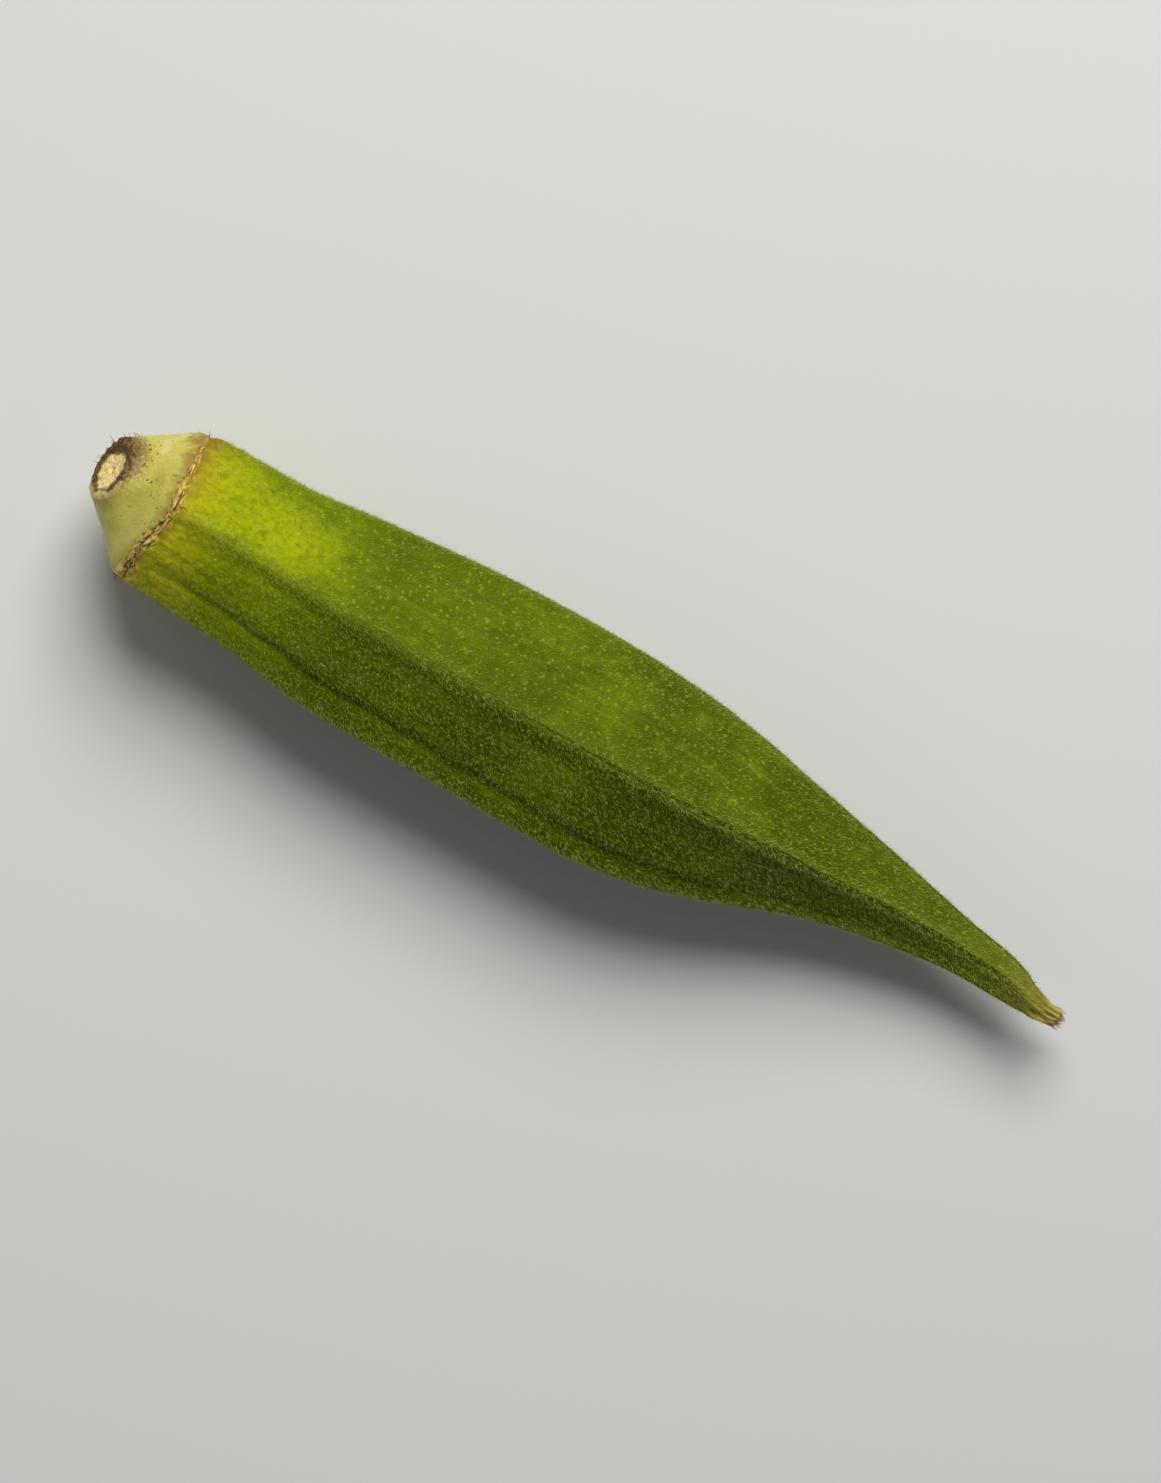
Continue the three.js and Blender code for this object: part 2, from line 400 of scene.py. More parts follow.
def skinRows():  # (along, radius) of each row; the radius is nan where the row follows the skin
    cut = -podShape["capLength"]
    stem, bark, depth = podShape["stemRadius"], podShape["barkWidth"], podShape["pithDepth"]
    rows = []
    for share in np.linspace(0, 1, skinGrid["pithRows"]):
        rows.append((cut + depth * (1 - share ** stemCut["pithCurve"]), stem * share))
    for turn in np.linspace(0, math.pi / 2, skinGrid["barkRows"])[1:]:
        rows.append((cut + stemCut["rimRound"] * (1 - math.cos(turn)), stem + bark * math.sin(turn)))
    places, widths = np.array(skinGrid["spacing"]).T
    along = places[0]
    while along < places[-1]:
        rows.append((along, math.nan))
        along += np.interp(along, places, widths)
    last = podShape["bodyLength"] - podShape["tipLength"]
    rows.append((last, math.nan))
    end = float(plainRadius(np.array(0.0), np.array(last)))
    for turn in np.linspace(0, math.pi / 2, skinGrid["tipRows"])[1:]:
        rows.append((last + podShape["tipLength"] * math.sin(turn), end * math.cos(turn)))
    return np.array(rows)


def barkEdge(angle):  # radius where the cut's pith meets its bark
    x, y = np.cos(angle), np.sin(angle)
    shiftX, shiftY = stemCut["edgeShift"]
    offCentre = shiftX * x - shiftY * y * y
    thick = bell(nearest(angle - stemCut["thickAt"], 2 * math.pi), stemCut["thickReach"])
    wander = stemCut["edgeWander"] * noiseRound(angle, stemCut["edgeWaves"], 6)
    return podShape["stemRadius"] - stemCut["edgeInset"] + offCentre - stemCut["thicker"] * thick + wander


def cutRelief(angle, radius):  # how rough the stem's cut is along the stem, and outwards
    coarse, fine = stemCut["pithGrain"]
    grain = noiseOver(angle, radius, 1.5, (coarse, 1))
    grain = grain + stemCut["fineGrain"] * noiseOver(angle, radius, 7, (fine, 1))
    heart = stemCut["pithHole"] * bell(radius, stemCut["pithHoleRadius"])
    inwards = stemCut["pithBump"] * grain + heart
    slow, quick = stemCut["barkWaves"]
    rough = noiseRound(angle, slow, 3) + stemCut["fineBark"] * noiseRound(angle, quick, 8)
    return inwards, stemCut["barkRough"] * rough


def wanderOff(angle, along):  # the angle that ribs and folds are read at, so that they run unevenly
    turned = fromTopRib(angle, along)
    ribs = smoothNoise(along / fineRelief["ribWanderLength"], 2.5, 0.5)
    folds = smoothNoise(along / fineRelief["foldWanderLength"], np.round(turned / ribStep - 0.5), 7)
    offRib = 1 - bell(nearest(turned, ribStep), ribStep / 6)
    wander = math.radians(fineRelief["ribWander"]) * ribs
    wander = wander + math.radians(fineRelief["foldWander"]) * folds * offRib
    return angle + wander * np.clip(along / fineRelief["wanderStart"], 0, 1)


def skinPoints(along, ownRadius, angle):  # places in mm, and what the materials read
    inCut = ~np.isnan(ownRadius) & (along < 0)
    inTip = ~np.isnan(ownRadius) & (along > 0)
    turned = fromTopRib(angle, along)
    wandering = wanderOff(angle, along)
    radius = plainRadius(wandering, along)
    radius = radius + skinRelief(wandering, along, radius)
    radius = np.where(np.isnan(ownRadius), radius, ownRadius)
    inwards, outwards = cutRelief(angle, np.where(inCut, radius, 0))
    fromCut = np.maximum(along + podShape["capLength"] - stemCut["rimRound"], 0)
    fromCut = podShape["stemRadius"] + podShape["barkWidth"] + fromCut
    overBark = np.where(inCut, radius, fromCut) - barkEdge(angle)
    rim = np.clip(radius / podShape["stemRadius"] - stemCut["roughFrom"], 0, 1)
    radius = np.where(inCut, radius + outwards * rim, radius)
    frayed = 1 + driedEnd["endSwing"] * noiseRound(angle, driedEnd["endWaves"], 1)
    radius = np.where(inTip, radius * frayed, radius)
    place, forward, side, up = sectionFrame(along)
    swing = podShape["ringWave"] * np.cos(podShape["ribs"] * turned)
    swing = swing - podShape["ringLean"] * np.maximum(-np.sin(angle), 0) ** 2
    wave = swing * bell(along, podShape["ringWaveReach"]) + np.where(inCut, inwards, 0)
    points = place + forward * wave[..., None]
    aside = radius * np.sin(angle) + podShape["stemOffset"] * smoothShare(-along / podShape["capLength"])
    points = points + side * aside[..., None] + up * (radius * np.cos(angle))[..., None]
    points[..., 2] = np.maximum(points[..., 2], 0)
    away, cork, crumbs = ringMarks(wandering, along)
    # how deep the folds are, which the rind's painted shade follows
    foldShade = foldDepth(wandering, along) / fineRelief["foldFull"]
    crest = nearest(fromTopRib(wandering, along), ribStep) * radius
    alongSkin = np.where(inCut, -podShape["capLength"], along)
    looks = {
        "podPlace": np.stack([np.cos(turned), np.sin(turned), alongSkin], -1),
        "podMarks": np.stack([crest, foldShade, overBark], -1),
        "scarMarks": np.stack([away, cork, crumbs], -1),
    }
    return points, looks


def makeSkin():
    rows = skinRows()
    columns = skinGrid["columns"]
    deselectAll()
    bpy.ops.mesh.primitive_grid_add(x_subdivisions=len(rows) - 1, y_subdivisions=columns, size=2)
    skin = bpy.context.object
    skin.name = skin.data.name = "pod_skin"
    mesh = skin.data
    flat = np.zeros(len(mesh.vertices) * 3)
    mesh.vertices.foreach_get("co", flat)
    flat = flat.reshape(-1, 3)
    row = np.round((flat[:, 0] + 1) / 2 * (len(rows) - 1)).astype(int)
    column = np.round((flat[:, 1] + 1) / 2 * columns).astype(int) % columns
    angle = 2 * np.pi * column / columns
    angle = np.where(angle > np.pi, angle - 2 * np.pi, angle)
    points, looks = skinPoints(rows[row, 0], rows[row, 1], angle)
    mesh.vertices.foreach_set("co", (points * mm).ravel())
    for name, values in looks.items():
        layer = mesh.attributes.new(name, "FLOAT_VECTOR", "POINT")
        layer.data.foreach_set("vector", values.ravel().astype(np.float32))
    bpy.ops.object.mode_set(mode="EDIT")
    bpy.ops.mesh.select_all(action="SELECT")
    bpy.ops.mesh.remove_doubles(threshold=1e-7)
    bpy.ops.mesh.normals_make_consistent(inside=False)
    bpy.ops.object.mode_set(mode="OBJECT")
    bpy.ops.object.shade_smooth()
    mesh.uv_layers[0].name = "OFBake"
    print("skin:", len(rows), "rows,", len(mesh.vertices), "points,", len(mesh.polygons), "faces")
    return skin


def vertexVectors(mesh, name):
    values = np.zeros(len(mesh.vertices) * 3, np.float32)
    if name == "co":
        mesh.vertices.foreach_get("co", values)
    else:
        mesh.attributes[name].data.foreach_get("vector", values)
    return values.reshape(-1, 3)


rindLook = {
    "girth": 9,  # radius of the pod that the widths of its streaks are right for
    "length": 92.8,
    # colour from the ring to the beak, as (share of the length, sRGB)
    "colours": [
        (0, "#b8ab1c"), (0.02, "#b2ab10"), (0.035, "#aeae0c"), (0.052, "#a3ab07"), (0.073, "#8c9804"),
        (0.095, "#899703"), (0.127, "#7f8f03"), (0.17, "#6e8003"), (0.19, "#647603"), (0.225, "#576803"),
        (0.28, "#5d7004"), (0.4, "#526204"), (0.6, "#475604"), (0.76, "#4e5f07"), (0.88, "#5a6712"),
        (0.925, "#656b1a"), (0.955, "#80792a")],
    # a paler patch on the neck, partly its yellow and partly a painted highlight just above the top rib:
    # where its middle is, and how much the distances from it count
    "patchMiddle": (8.3, 3.6, 7.2),
    "patchScale": (9, 9, 0.7),
    "mottleSize": 11,
    "speckleSize": 1.3,
    "streak": (0.8, 12),
    "broadStreak": (2.4, 30),
    "fraySize": (2.5, 3),
    "hairRootSpacing": 0.66,  # about twice the real one, so that it shows
    "rootBlend": 0.4,
    "grainSize": 0.3,
    "seamFade": (62, 20, 0.24),  # the ribs' dark seams fade from the first place along to the second
    "liftOnShadedSide": 4,  # how much further the pale neck reaches on the -Y side, where it is painted light that lifts the shaded lower face
    # how far noise moves the edges of what is painted
    "ribFray": 1.2,
    "patchFray": 4,
    "driedFray": 9,
    "tipFray": 14,
    "coats": [
        # yellow of the neck: partly its own colour, and partly painted light on the shaded -Y side near the
        # ring
        ("paleNeckAndLift", 4.5, -1.2, 0.75, "#d6d220"),
        # painted highlight over some real yellow: the bright spot where light falls on the upper face near
        # the neck
        ("neckTintAndHighlight", 7.8, 2.2, 0.68, "#b4bd04"),
        ("mottle", 0.5, 0.72, 0.42, "#415506"),
        ("mottle", 0.46, 0.28, 0.35, "#869405"),
        ("broad", 0.5, 0.7, 0.3, "#3c5005"),
        ("speckle", 0.53, 0.68, 0.25, "#415104"),
        ("speckle", 0.46, 0.32, 0.16, "#92a00c"),
        ("streak", 0.54, 0.74, 0.25, "#344a06"),
        ("streak", 0.46, 0.3, 0.2, "#88962a"),
        # painted shade: the folds are drawn darker green, where shade falls in them
        ("foldShade", 0.4, 1.0, 0.45, "#2a3a04"),
        ("onRib", 1.6, 0.6, 0.14, "#8d9a40"),
        ("seam", 0.3, 0.14, 0.8, "#26330a"),
        ("roots", 0.3, 0.08, 0.31, "#c0c840"),
        ("roots", 0.5, 0.8, 0.25, "#4c5c0a"),
        ("grain", 0.62, 0.78, 0.25, "#9ca738"),
        ("dried", 90.5, 94.0, 0.7, "#8a8236"),
        ("dried", 94.2, 96.2, 0.85, "#c6b063"),
        ("frayed", 98.8, 100.0, 0.6, "#7c5c2c"),
    ],
    "grainBump": 0.6,  # against the streaks' bump of 1
    "rootBump": -1.3,
    "roughness": (0.48, 0.62),
    "gloss": {
        "IOR": 1.42, "Specular IOR Level": 0.15, "Specular Tint": "#d5e070",
        "Subsurface Weight": 0.1, "Subsurface Scale": 0.8 * mm, "Subsurface Radius": (0.6, 1, 0.2)},
}

scarLook = {
    "patchSize": (1.1, 2),
    "patchPull": -3.2,  # how far the patches move the stain's edge
    "lowerSide": -0.5,  # how much further the stain reaches on the -Y side, or less far below 0; held back there, it leaves the shaded -Y side lighter, which is painted light
    "coats": [
        ("stain", 0.1, -1.0, 0.7, "#a08c2c"),
        ("stain", -0.8, -1.6, 0.6, "#8e6626"),
        ("cork", 0.1, 0.5, 0.9, "#e2c66a"),
        ("creamy", 0.42, 0.6, 0.85, "#f6e6a6"),
        ("crumbs", 0.1, 0.45, 0.75, "#d0a84e"),
        ("crumbs", 0.85, 1.0, 0.55, "#7e5a22"),
    ],
}

skinBump = {"Strength": 0.6, "Distance": 0.1 * mm}


def carried(tree, name):  # an attribute of the skin, whole and in its three parts
    whole = addNode(tree, "Attribute", attribute_name=name).outputs["Vector"]
    parts = addNode(tree, "SeparateXYZ", {"Vector": whole}).outputs
    return whole, parts["X"], parts["Y"], parts["Z"]


def evenNoise(tree, size, detail):  # noise of one size in mm, the same in all directions
    spot = addNode(tree, "TexCoord").outputs["Object"]
    noisy = {"Vector": spot, "Scale": 1 / (size * mm), "Detail": detail}
    return addNode(tree, "TexNoise", noisy).outputs["Fac"]


def podStreaks(tree, size, detail=2):  # noise that follows the pod, of a width and a length in mm
    across, length = size
    place = carried(tree, "podPlace")[0]
    stretch = (rindLook["girth"] / across, rindLook["girth"] / across, 1 / length)
    place = addNode(tree, "VectorMath", {0: place, 1: stretch}, operation="MULTIPLY").outputs[0]
    return addNode(tree, "TexNoise", {"Vector": place, "Scale": 1, "Detail": detail}).outputs["Fac"]


def scarValues(tree):  # what the corky scar's coats follow, for the rind and the cap on its two sides
    away, cork, crumbs = carried(tree, "scarMarks")[1:]
    away = addNode(tree, "Math", {0: away}, operation="ABSOLUTE").outputs[0]
    side = carried(tree, "podPlace")[2]
    patchy = podStreaks(tree, scarLook["patchSize"], 4)
    stain = {0: patchy, 1: scarLook["patchPull"], 2: away}
    stain = addNode(tree, "Math", stain, operation="MULTIPLY_ADD").outputs[0]
    # painted light: less stain on the shaded -Y side, so that it shows lighter
    stain = {0: side, 1: scarLook["lowerSide"], 2: stain}
    stain = addNode(tree, "Math", stain, operation="MULTIPLY_ADD").outputs[0]
    creamy = addNode(tree, "Math", {0: patchy, 1: cork}, operation="MULTIPLY").outputs[0]
    return {"stain": stain, "cork": cork, "creamy": creamy, "crumbs": crumbs}


def addSurface(tree, colour, height, roughness, gloss):  # bump and shader, with what makes its gloss
    bump = addNode(tree, "Bump", {"Height": height, **skinBump})
    values = {"Base Color": colour, "Normal": bump.outputs[0], "Roughness": roughness, **gloss}
    shader = addNode(tree, "BsdfPrincipled", values)
    addNode(tree, "OutputMaterial", {"Surface": shader.outputs[0]})


def okraRind():  # fresh fruit skin with a thin wax coat: satin green, streaked, paler over the ribs
    material, tree = newMaterial("freshOkraRind")
    place, _, side, along = carried(tree, "podPlace")
    crest, foldShade = carried(tree, "podMarks")[1:3]
    share = addNode(tree, "MapRange", {"Value": along, "From Max": rindLook["length"]}).outputs[0]
    ramp = addNode(tree, "ValToRGB", {"Fac": share})
    while len(ramp.color_ramp.elements) < len(rindLook["colours"]):
        ramp.color_ramp.elements.new(0.5)
    for element, (stop, colour) in zip(ramp.color_ramp.elements, rindLook["colours"]):
        element.position, element.color = stop, linear(colour)

    mottle = evenNoise(tree, rindLook["mottleSize"], 4)
    speckle = evenNoise(tree, rindLook["speckleSize"], 3)
    grain = evenNoise(tree, rindLook["grainSize"], 3)
    spot = addNode(tree, "TexCoord").outputs["Object"]
    roots = {"Vector": spot, "Scale": 1 / (rindLook["hairRootSpacing"] * mm)}
    roots["Smoothness"] = rindLook["rootBlend"]
    roots = addNode(tree, "TexVoronoi", roots, feature="SMOOTH_F1").outputs["Distance"]
    streak = podStreaks(tree, rindLook["streak"], 3)
    broad = podStreaks(tree, rindLook["broadStreak"])
    fray = podStreaks(tree, rindLook["fraySize"], 4)

    low, high, most = rindLook["seamFade"]
    seam = addNode(tree, "MapRange", {"Value": along, "From Min": low, "From Max": high, "To Max": most})
    seam = addNode(tree, "Math", {0: crest, 1: seam.outputs[0]}, operation="ADD").outputs[0]
    neckTintAndHighlight = addNode(tree, "VectorMath", {0: place, 1: rindLook["patchScale"]}, operation="MULTIPLY")
    neckTintAndHighlight = {0: neckTintAndHighlight.outputs[0], 1: rindLook["patchMiddle"]}
    neckTintAndHighlight = addNode(tree, "VectorMath", neckTintAndHighlight, operation="DISTANCE").outputs["Value"]
    values = {
        "mottle": mottle, "broad": broad, "speckle": speckle, "streak": streak, "foldShade": foldShade, "seam": seam,
        "roots": roots, "grain": grain, **scarValues(tree)}
    edges = {  # what moves each edge, how far, and what it is measured by
        "onRib": (grain, rindLook["ribFray"], crest),
        "paleNeckAndLift": (side, rindLook["liftOnShadedSide"], along),
        "neckTintAndHighlight": (mottle, rindLook["patchFray"], neckTintAndHighlight),
        "dried": (streak, rindLook["driedFray"], along),
        "frayed": (fray, rindLook["tipFray"], along),
    }
    for name, inputs in edges.items():
        inputs = dict(enumerate(inputs))
        values[name] = addNode(tree, "Math", inputs, operation="MULTIPLY_ADD").outputs[0]
    colour = paintCoats(tree, ramp.outputs["Color"], rindLook["coats"] + scarLook["coats"], values)
    height = {0: grain, 1: rindLook["grainBump"], 2: streak}
    height = addNode(tree, "Math", height, operation="MULTIPLY_ADD").outputs[0]
    height = {0: roots, 1: rindLook["rootBump"], 2: height}
    height = addNode(tree, "Math", height, operation="MULTIPLY_ADD").outputs[0]
    smooth, rough = rindLook["roughness"]
    waxy = {"Value": mottle, "From Min": 0.3, "From Max": 0.7, "To Min": smooth, "To Max": rough}
    waxy = addNode(tree, "MapRange", waxy).outputs[0]
    addSurface(tree, colour, height, waxy, rindLook["gloss"])
    return material


barkSide = (math.cos(2.0), math.sin(2.0), 0)  # where the stem's bark is thick, 2 radians from the top rib
capLook = {
    "mottleSize": 3.5,
    "fleckSize": 0.55,
    "grainSize": 0.25,
    "fleckedFrom": (-2.4, -0.2, 0.09),  # flecks grow between two places along, by this much
    "edgeFray": 1.5,  # how far the grain moves the edge of the bark's colour
    "thickSide": -1.3,  # below 0, so that the dark bark is wider on its thick side
    "ground": "#cbc25c",
    "coats": [
        ("mottle", 0.5, 0.7, 0.7, "#b0aa38"),
        ("mottle", 0.46, 0.3, 0.7, "#dcd68c"),
        ("along", -2.2, -0.3, 0.4, "#aeaa36"),
        ("grain", 0.58, 0.75, 0.3, "#e2dc9c"),
        ("nearRing", 0.66, 0.74, 0.85, "#6d4a20"),
        ("patchy", 1.9, 1.2, 0.45, "#c8ad64"),
        ("onThick", 2.6, 1.4, 0.9, "#7c6026"),
        ("onThick", 1.7, 1.0, 0.8, "#503a14"),
    ],
    "roughness": (0.38, 0.55),
    "gloss": {
        "IOR": 1.42, "Subsurface Weight": 0.2, "Subsurface Scale": 1.2 * mm,
        "Subsurface Radius": (1, 0.9, 0.4)},
}


def receptacleCap():  # the smooth firm cap: pale cream green, waxy, flecked with brown
    material, tree = newMaterial("paleReceptacleCap")
    place, _, _, along = carried(tree, "podPlace")
    overBark = carried(tree, "podMarks")[3]
    mottle = evenNoise(tree, capLook["mottleSize"], 4)
    flecks = evenNoise(tree, capLook["fleckSize"], 2)
    grain = evenNoise(tree, capLook["grainSize"], 3)
    side = addNode(tree, "VectorMath", {0: place, 1: barkSide}, operation="DOT_PRODUCT").outputs["Value"]
    patchy = {0: grain, 1: capLook["edgeFray"], 2: overBark}
    patchy = addNode(tree, "Math", patchy, operation="MULTIPLY_ADD").outputs[0]
    onThick = {0: side, 1: capLook["thickSide"], 2: patchy}
    onThick = addNode(tree, "Math", onThick, operation="MULTIPLY_ADD").outputs[0]
    low, high, most = capLook["fleckedFrom"]
    nearRing = addNode(tree, "MapRange", {"Value": along, "From Min": low, "From Max": high, "To Max": most})
    nearRing = addNode(tree, "Math", {0: flecks, 1: nearRing.outputs[0]}, operation="ADD").outputs[0]
    values = {
        "mottle": mottle, "along": along, "grain": grain, "nearRing": nearRing, "patchy": patchy,
        "onThick": onThick, **scarValues(tree)}
    colour = paintCoats(tree, capLook["ground"], capLook["coats"] + scarLook["coats"], values)
    smooth, rough = capLook["roughness"]
    waxy = addNode(tree, "MapRange", {"Value": mottle, "To Min": smooth, "To Max": rough}).outputs[0]
    addSurface(tree, colour, grain, waxy, capLook["gloss"])
    return material


stemLook = {
    "spongeSize": 0.5,
    "vesselSpacing": 0.7,
    "pithFray": 0.8,  # how far the sponge moves the edges of pith and bark
    "barkFray": 0.5,
    "thickSide": -0.85,
    # painted light: the pith and its pale sponge are paler than dry pith, standing in for strong light on
    # the cut
    "pith": "#fbe198",
    "coats": [
        ("sponge", 0.52, 0.7, 0.5, "#d8b262"),
        ("sponge", 0.45, 0.3, 0.6, "#ffeec4"),
        ("vessels", 0.26, 0.1, 0.6, "#9a6f3c"),
        ("middle", -1.6, -1.85, 0.8, "#5a3a1c"),
        ("edge", -0.1, 0.2, 0.7, "#7a5228"),
        ("edge", 0.1, 0.35, 0.95, "bark"),
        # cream on the thin side of the bark: partly its own colour, and partly painted light that lifts this
        # shaded underside of the stub
        ("outside", 1.1, 1.5, 0.85, "#d8c680"),
    ],
    "bark": "#4c3812",
    "barkCoats": [("sponge", 0.46, 0.62, 0.8, "#957738")],
    "roughness": 0.8,
    "gloss": {"IOR": 1.45},
}


def cutStem():  # dry cut wood: a spongy tan pith in a rim of dark brown bark
    material, tree = newMaterial("dryCutStem")
    place = carried(tree, "podPlace")[0]
    overBark = carried(tree, "podMarks")[3]
    sponge = evenNoise(tree, stemLook["spongeSize"], 4)
    spot = addNode(tree, "TexCoord").outputs["Object"]
    vessels = {"Vector": spot, "Scale": 1 / (stemLook["vesselSpacing"] * mm)}
    vessels = addNode(tree, "TexVoronoi", vessels).outputs["Distance"]
    middle = {0: sponge, 1: stemLook["pithFray"], 2: overBark}
    middle = addNode(tree, "Math", middle, operation="MULTIPLY_ADD").outputs[0]
    edge = {0: sponge, 1: stemLook["barkFray"], 2: overBark}
    edge = addNode(tree, "Math", edge, operation="MULTIPLY_ADD").outputs[0]
    side = addNode(tree, "VectorMath", {0: place, 1: barkSide}, operation="DOT_PRODUCT").outputs["Value"]
    outside = {0: side, 1: stemLook["thickSide"], 2: edge}
    outside = addNode(tree, "Math", outside, operation="MULTIPLY_ADD").outputs[0]
    bark = paintCoats(tree, stemLook["bark"], stemLook["barkCoats"], {"sponge": sponge})
    values = {
        "sponge": sponge, "vessels": vessels, "middle": middle, "edge": edge, "outside": outside,
        "bark": bark}
    colour = paintCoats(tree, stemLook["pith"], stemLook["coats"], values)
    addSurface(tree, colour, sponge, stemLook["roughness"], stemLook["gloss"])
    return material


def paintSkin(skin):  # rind past the ring, cap before it, and cut wood from the cap's end
    for material in (okraRind(), receptacleCap(), cutStem()):
        skin.data.materials.append(material)
    along = vertexVectors(skin.data, "podPlace")[:, 2]
    along = [float(np.mean(along[list(face.vertices)])) for face in skin.data.polygons]
    kinds = [0 if place > 0 else 1 if place > skinGrid["cutEdge"] else 2 for place in along]
    skin.data.polygons.foreach_set("material_index", kinds)


skin = makeSkin()
paintSkin(skin)
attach(skin, "root")
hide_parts("okra_pod")
print("skin painted")


# The down: short stiff hairs that lean to the beak, thicker on the ribs.
downSet = {
    "pieces": 2,
    "hairsEach": 49000,
    "seed": 41,
    "length": (0.18, 0.5),
    "shortBias": 1.6,  # the higher, the more of the hairs are short
    "longerOnRibs": 0.25,
    "thickness": 0.036,  # thicker than a real hair, so that it shows
    "thicknessSpread": (0.8, 1.2),
    "sunk": 0.03,
    "lean": (20, 58),  # degrees from upright
    "spread": 0.35,
    "leastRise": 0.25,  # how far every hair stands off the skin
    "onFaces": 0.6,
    "onRibs": 0.7,
    "ribReach": 0.9,
    "share": [
        (-4.6, 0), (-3.5, 0.04), (-0.7, 0.1), (0.6, 0.5), (4, 1), (15, 1.1), (40, 1), (86, 1.1),
        (90, 0.6), (91.6, 0)],
    "bareBelow": 0.5,  # nothing grows this near the table
    "tipsOver": 0.05,  # height that the tips keep over the table
    "outsideBox": 0.27,  # how far the hairs may reach past the solid's box
    "trims": 12,  # how often a hair that reaches further is cut, and to what share
    "trim": 0.8,
    # material, colour and share of each kind
    "kinds": [
        ("palePlantHair", "#b4c04c", 0.5), ("strawPlantHair", "#cac770", 0.15),
        ("greenPlantHair", "#8d9c30", 0.35)],
}


def triangleCorners(mesh):
    mesh.calc_loop_triangles()
    corners = np.zeros(len(mesh.loop_triangles) * 3, np.int32)
    mesh.loop_triangles.foreach_get("vertices", corners)
    return corners.reshape(-1, 3)


def pickRoots(mesh, count, random):  # places on the skin, their normals, and how far they are from a rib
    corners = triangleCorners(mesh)
    points = vertexVectors(mesh, "co")[corners].astype(float)
    along = vertexVectors(mesh, "podPlace")[:, 2][corners].mean(1)
    crest = vertexVectors(mesh, "podMarks")[:, 0][corners].mean(1)
    across = np.cross(points[:, 1] - points[:, 0], points[:, 2] - points[:, 0])
    area = np.linalg.norm(across, axis=1)
    normal = across / np.maximum(area, 1e-20)[:, None]
    weight = downSet["onFaces"] + downSet["onRibs"] * bell(crest, downSet["ribReach"])
    weight = weight * area * smoothCurve(downSet["share"], along)
    weight[points[:, :, 2].max(1) < downSet["bareBelow"] * mm] = 0
    chosen = random.choice(len(weight), count, p=weight / weight.sum())
    a, b = random.random((2, count))
    outside = a + b > 1  # folded back into the triangle
    a, b = np.where(outside, 1 - a, a)[:, None], np.where(outside, 1 - b, b)[:, None]
    first, second, third = points[chosen].transpose(1, 0, 2)
    return first + a * (second - first) + b * (third - first), normal[chosen], crest[chosen]


def growDown(skin, random):  # places, directions and lengths of all the hairs, in metres
    count = downSet["pieces"] * downSet["hairsEach"]
    root, normal, crest = pickRoots(skin.data, count, random)
    beakwards = np.array([1.0, 0, 0]) - normal * normal[:, :1]
    beakwards /= np.maximum(np.linalg.norm(beakwards, axis=1, keepdims=True), 1e-6)
    lean = np.radians(random.uniform(*downSet["lean"], count))[:, None]
    heading = normal * np.cos(lean) + beakwards * np.sin(lean)
    heading += random.normal(0, downSet["spread"], (count, 3))
    rise = (heading * normal).sum(1, keepdims=True)
    heading += normal * np.maximum(downSet["leastRise"] - rise, 0)
    heading /= np.linalg.norm(heading, axis=1, keepdims=True)
    low, high = downSet["length"]
    length = (low + (high - low) * random.random(count) ** downSet["shortBias"]) * mm
    length *= 1 + downSet["longerOnRibs"] * bell(crest, downSet["ribReach"])
    least = np.array(cadBox[0]) - downSet["outsideBox"] * mm
    most = np.array(cadBox[1]) + downSet["outsideBox"] * mm
    for _ in range(downSet["trims"]):
        tip = root + heading * length[:, None]
        out = np.maximum(least - tip, tip - most)[:, 1:].max(1) > 0
        out = out | (tip[:, 2] < downSet["tipsOver"] * mm)
        length = np.where(out, length * downSet["trim"], length)
    return root - heading * downSet["sunk"] * mm, heading, length


def modelSpike():  # one hair, one unit long
    deselectAll()
    bpy.ops.mesh.primitive_cone_add(vertices=3, radius1=0.5, radius2=0, depth=1, location=(0, 0, 0.5))
    spike = bpy.context.object
    bpy.ops.object.transform_apply(location=True, rotation=True, scale=True)
    return spike


def copiesOf(model, name, root, heading, length, thickness, turn):  # one mesh of all the copies
    shape = vertexVectors(model.data, "co")
    faces = [tuple(face.vertices) for face in model.data.polygons]
    side = np.cross(heading, [0.31, 0.52, 0.79])  # any direction that no copy points along
    side /= np.linalg.norm(side, axis=1, keepdims=True)
    other = np.cross(heading, side)
    turned = side * np.cos(turn)[:, None] + other * np.sin(turn)[:, None]
    other = np.cross(heading, turned)
    points = root[:, None] + heading[:, None] * (shape[None, :, 2:] * length[:, None, None])
    points = points + turned[:, None] * (shape[None, :, :1] * thickness[:, None, None])
    points = points + other[:, None] * (shape[None, :, 1:2] * thickness[:, None, None])
    allFaces = [tuple(i + k * len(shape) for i in face) for k in range(len(root)) for face in faces]
    mesh = bpy.data.meshes.new(name)
    mesh.from_pydata(points.reshape(-1, 3).tolist(), [], allFaces)
    piece = bpy.data.objects.new(name, mesh)
    bpy.context.scene.collection.objects.link(piece)
    return piece


def dryFibre(name, colour):  # plant hair and dead tissue: dull, with hardly any gloss
    material, tree = newMaterial(name)
    values = {"Base Color": colour, "Roughness": 0.6, "IOR": 1.5, "Specular IOR Level": 0.2}
    shader = addNode(tree, "BsdfPrincipled", values)
    addNode(tree, "OutputMaterial", {"Surface": shader.outputs[0]})
    return material


def paintCopies(piece, materials, kinds, facesEach):  # each copy in the material of its kind
    for material in materials:
        piece.data.materials.append(material)
    piece.data.polygons.foreach_set("material_index", np.repeat(kinds, facesEach).astype(np.int32))


